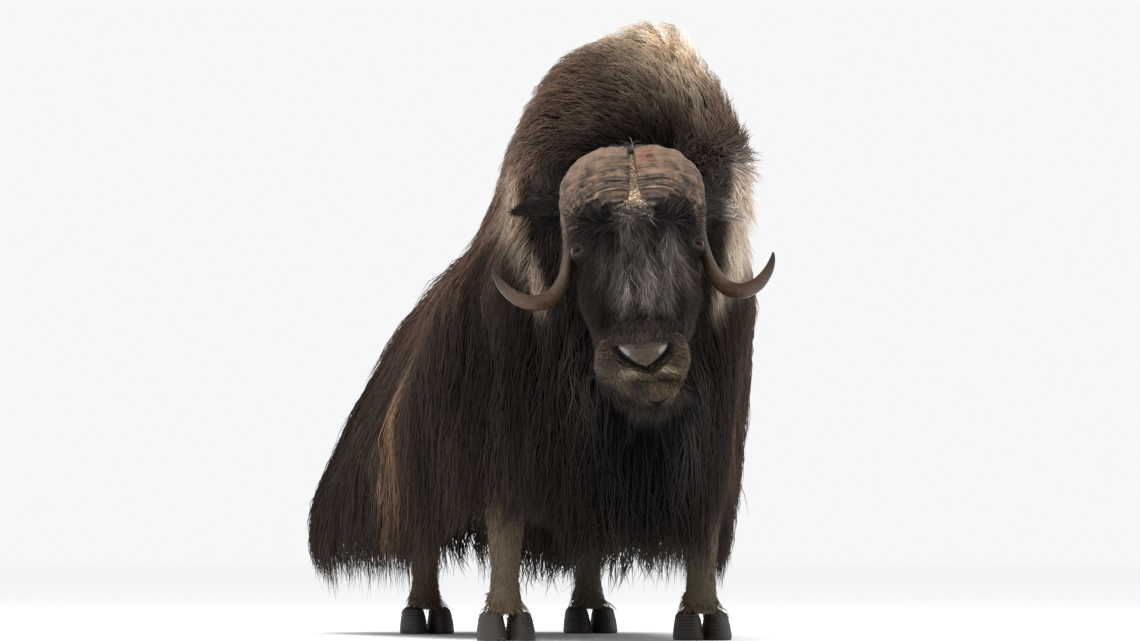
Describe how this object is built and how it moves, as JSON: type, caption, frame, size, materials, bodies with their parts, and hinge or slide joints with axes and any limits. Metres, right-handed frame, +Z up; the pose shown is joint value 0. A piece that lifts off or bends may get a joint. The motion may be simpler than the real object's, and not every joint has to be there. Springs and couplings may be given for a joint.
{
  "type": "muskox",
  "caption": "Life-size standing muskox bull with a long hanging coat, a high maned hump, a horn boss and hooked horns.",
  "frame": {"origin": "middle of the model's bounding box, at the level of the hoof soles", "axes": "+Z up; the animal faces -Y, its back runs along Y; +X is the animal's left side"},
  "size_m": [0.9544, 2.0614, 1.3948],
  "materials": {
    "long_coat": "dark brown guard hair",
    "mane": "brown woolly hair with pale tips",
    "short_coat": "short charcoal hair",
    "stocking": "short cream hair",
    "horn": "weathered horn",
    "hoof": "dull hoof",
    "eye": "wet, dark"
  },
  "bodies": {
    "root": {"head": "short_coat", "ear_left": "short_coat", "ear_right": "short_coat", "eye_left": "eye", "eye_right": "eye", "horn_left": "horn", "horn_right": "horn", "neck": "mane", "shoulders": "mane", "torso": "long_coat", "rump": "long_coat", "breech": "long_coat", "tail": "long_coat", "skirt_fore_left": "long_coat", "skirt_fore_right": "long_coat", "skirt_mid_left": "long_coat", "skirt_mid_right": "long_coat", "skirt_hind_left": "long_coat", "skirt_hind_right": "long_coat", "foreleg_left_upper": "long_coat", "foreleg_left_lower": "stocking", "foreleg_left_claw_1": "hoof", "foreleg_left_claw_2": "hoof", "foreleg_right_upper": "long_coat", "foreleg_right_lower": "stocking", "foreleg_right_claw_1": "hoof", "foreleg_right_claw_2": "hoof", "hindleg_left_upper": "long_coat", "hindleg_left_lower": "stocking", "hindleg_left_claw_1": "hoof", "hindleg_left_claw_2": "hoof", "hindleg_right_upper": "long_coat", "hindleg_right_lower": "stocking", "hindleg_right_claw_1": "hoof", "hindleg_right_claw_2": "hoof"}
  },
  "joints": []
}
